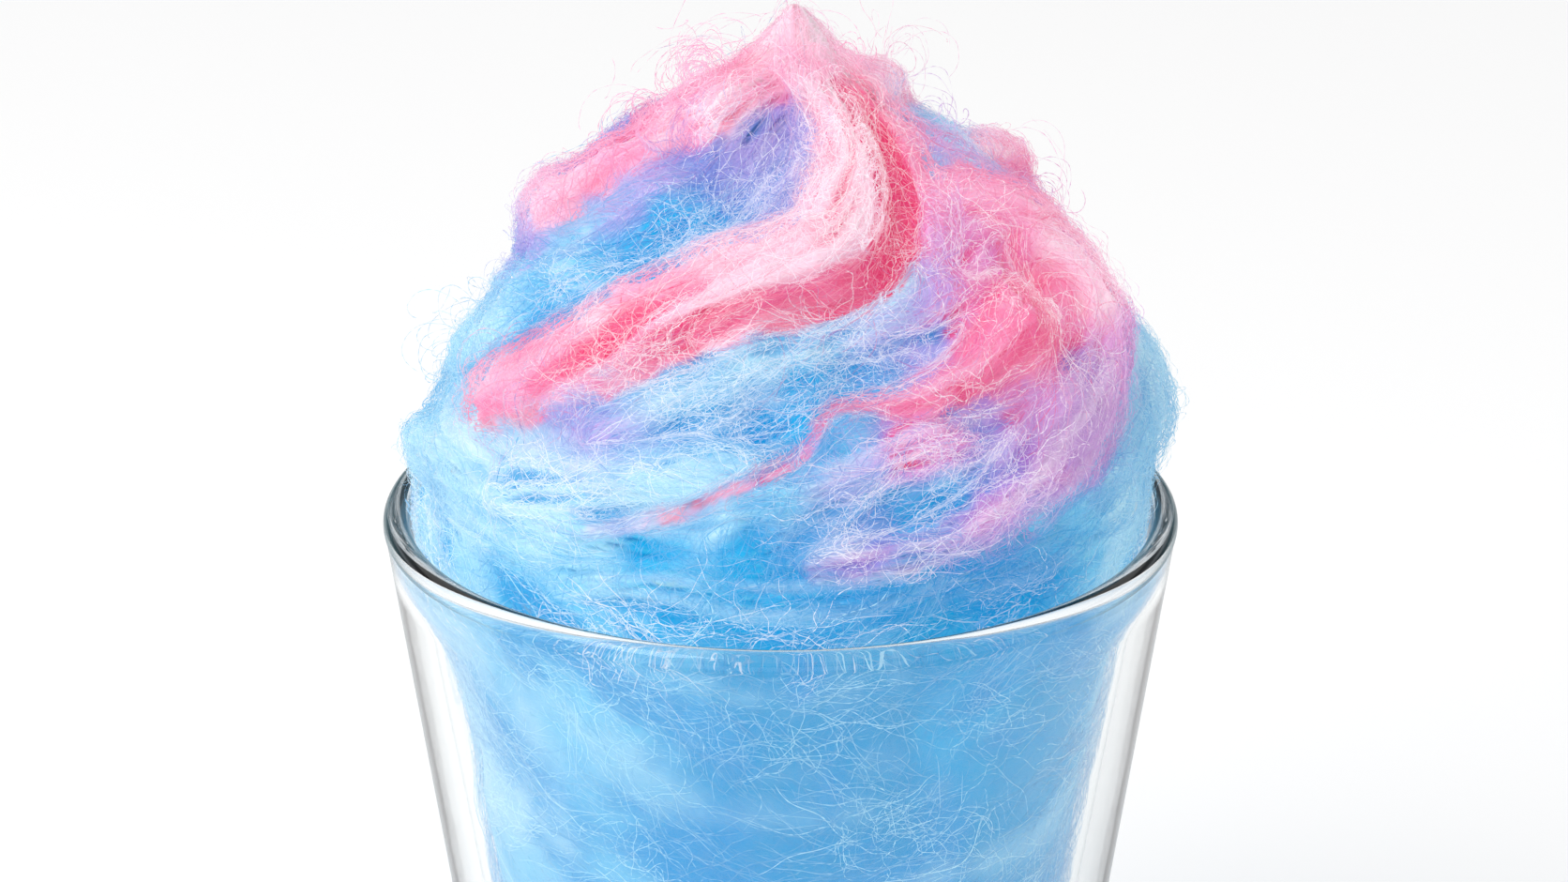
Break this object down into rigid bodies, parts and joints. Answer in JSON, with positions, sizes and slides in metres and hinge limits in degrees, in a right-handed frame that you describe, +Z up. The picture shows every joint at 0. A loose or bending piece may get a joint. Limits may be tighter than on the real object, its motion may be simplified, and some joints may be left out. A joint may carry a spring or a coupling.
{
  "type": "cotton candy in a glass",
  "caption": "Pink and blue spun-sugar cotton candy that fills a clear tapered glass tumbler and heaps up in a soft swirl to a curled peak.",
  "frame": {"origin": "centre of the glass's flat underside", "axes": "+Z up along the axis of the glass; the front, where the pink rope of sugar crosses the heap, faces -Y; +X to the right"},
  "size_m": [0.092, 0.092, 0.1597],
  "materials": {
    "glass": "clear, smooth, polished",
    "spun_sugar": "soft matt web of fine sugar threads, pink, lilac, sky blue and pale blue in bands"
  },
  "bodies": {
    "root": {"glass": "glass", "cotton_candy": "spun_sugar"}
  },
  "joints": []
}
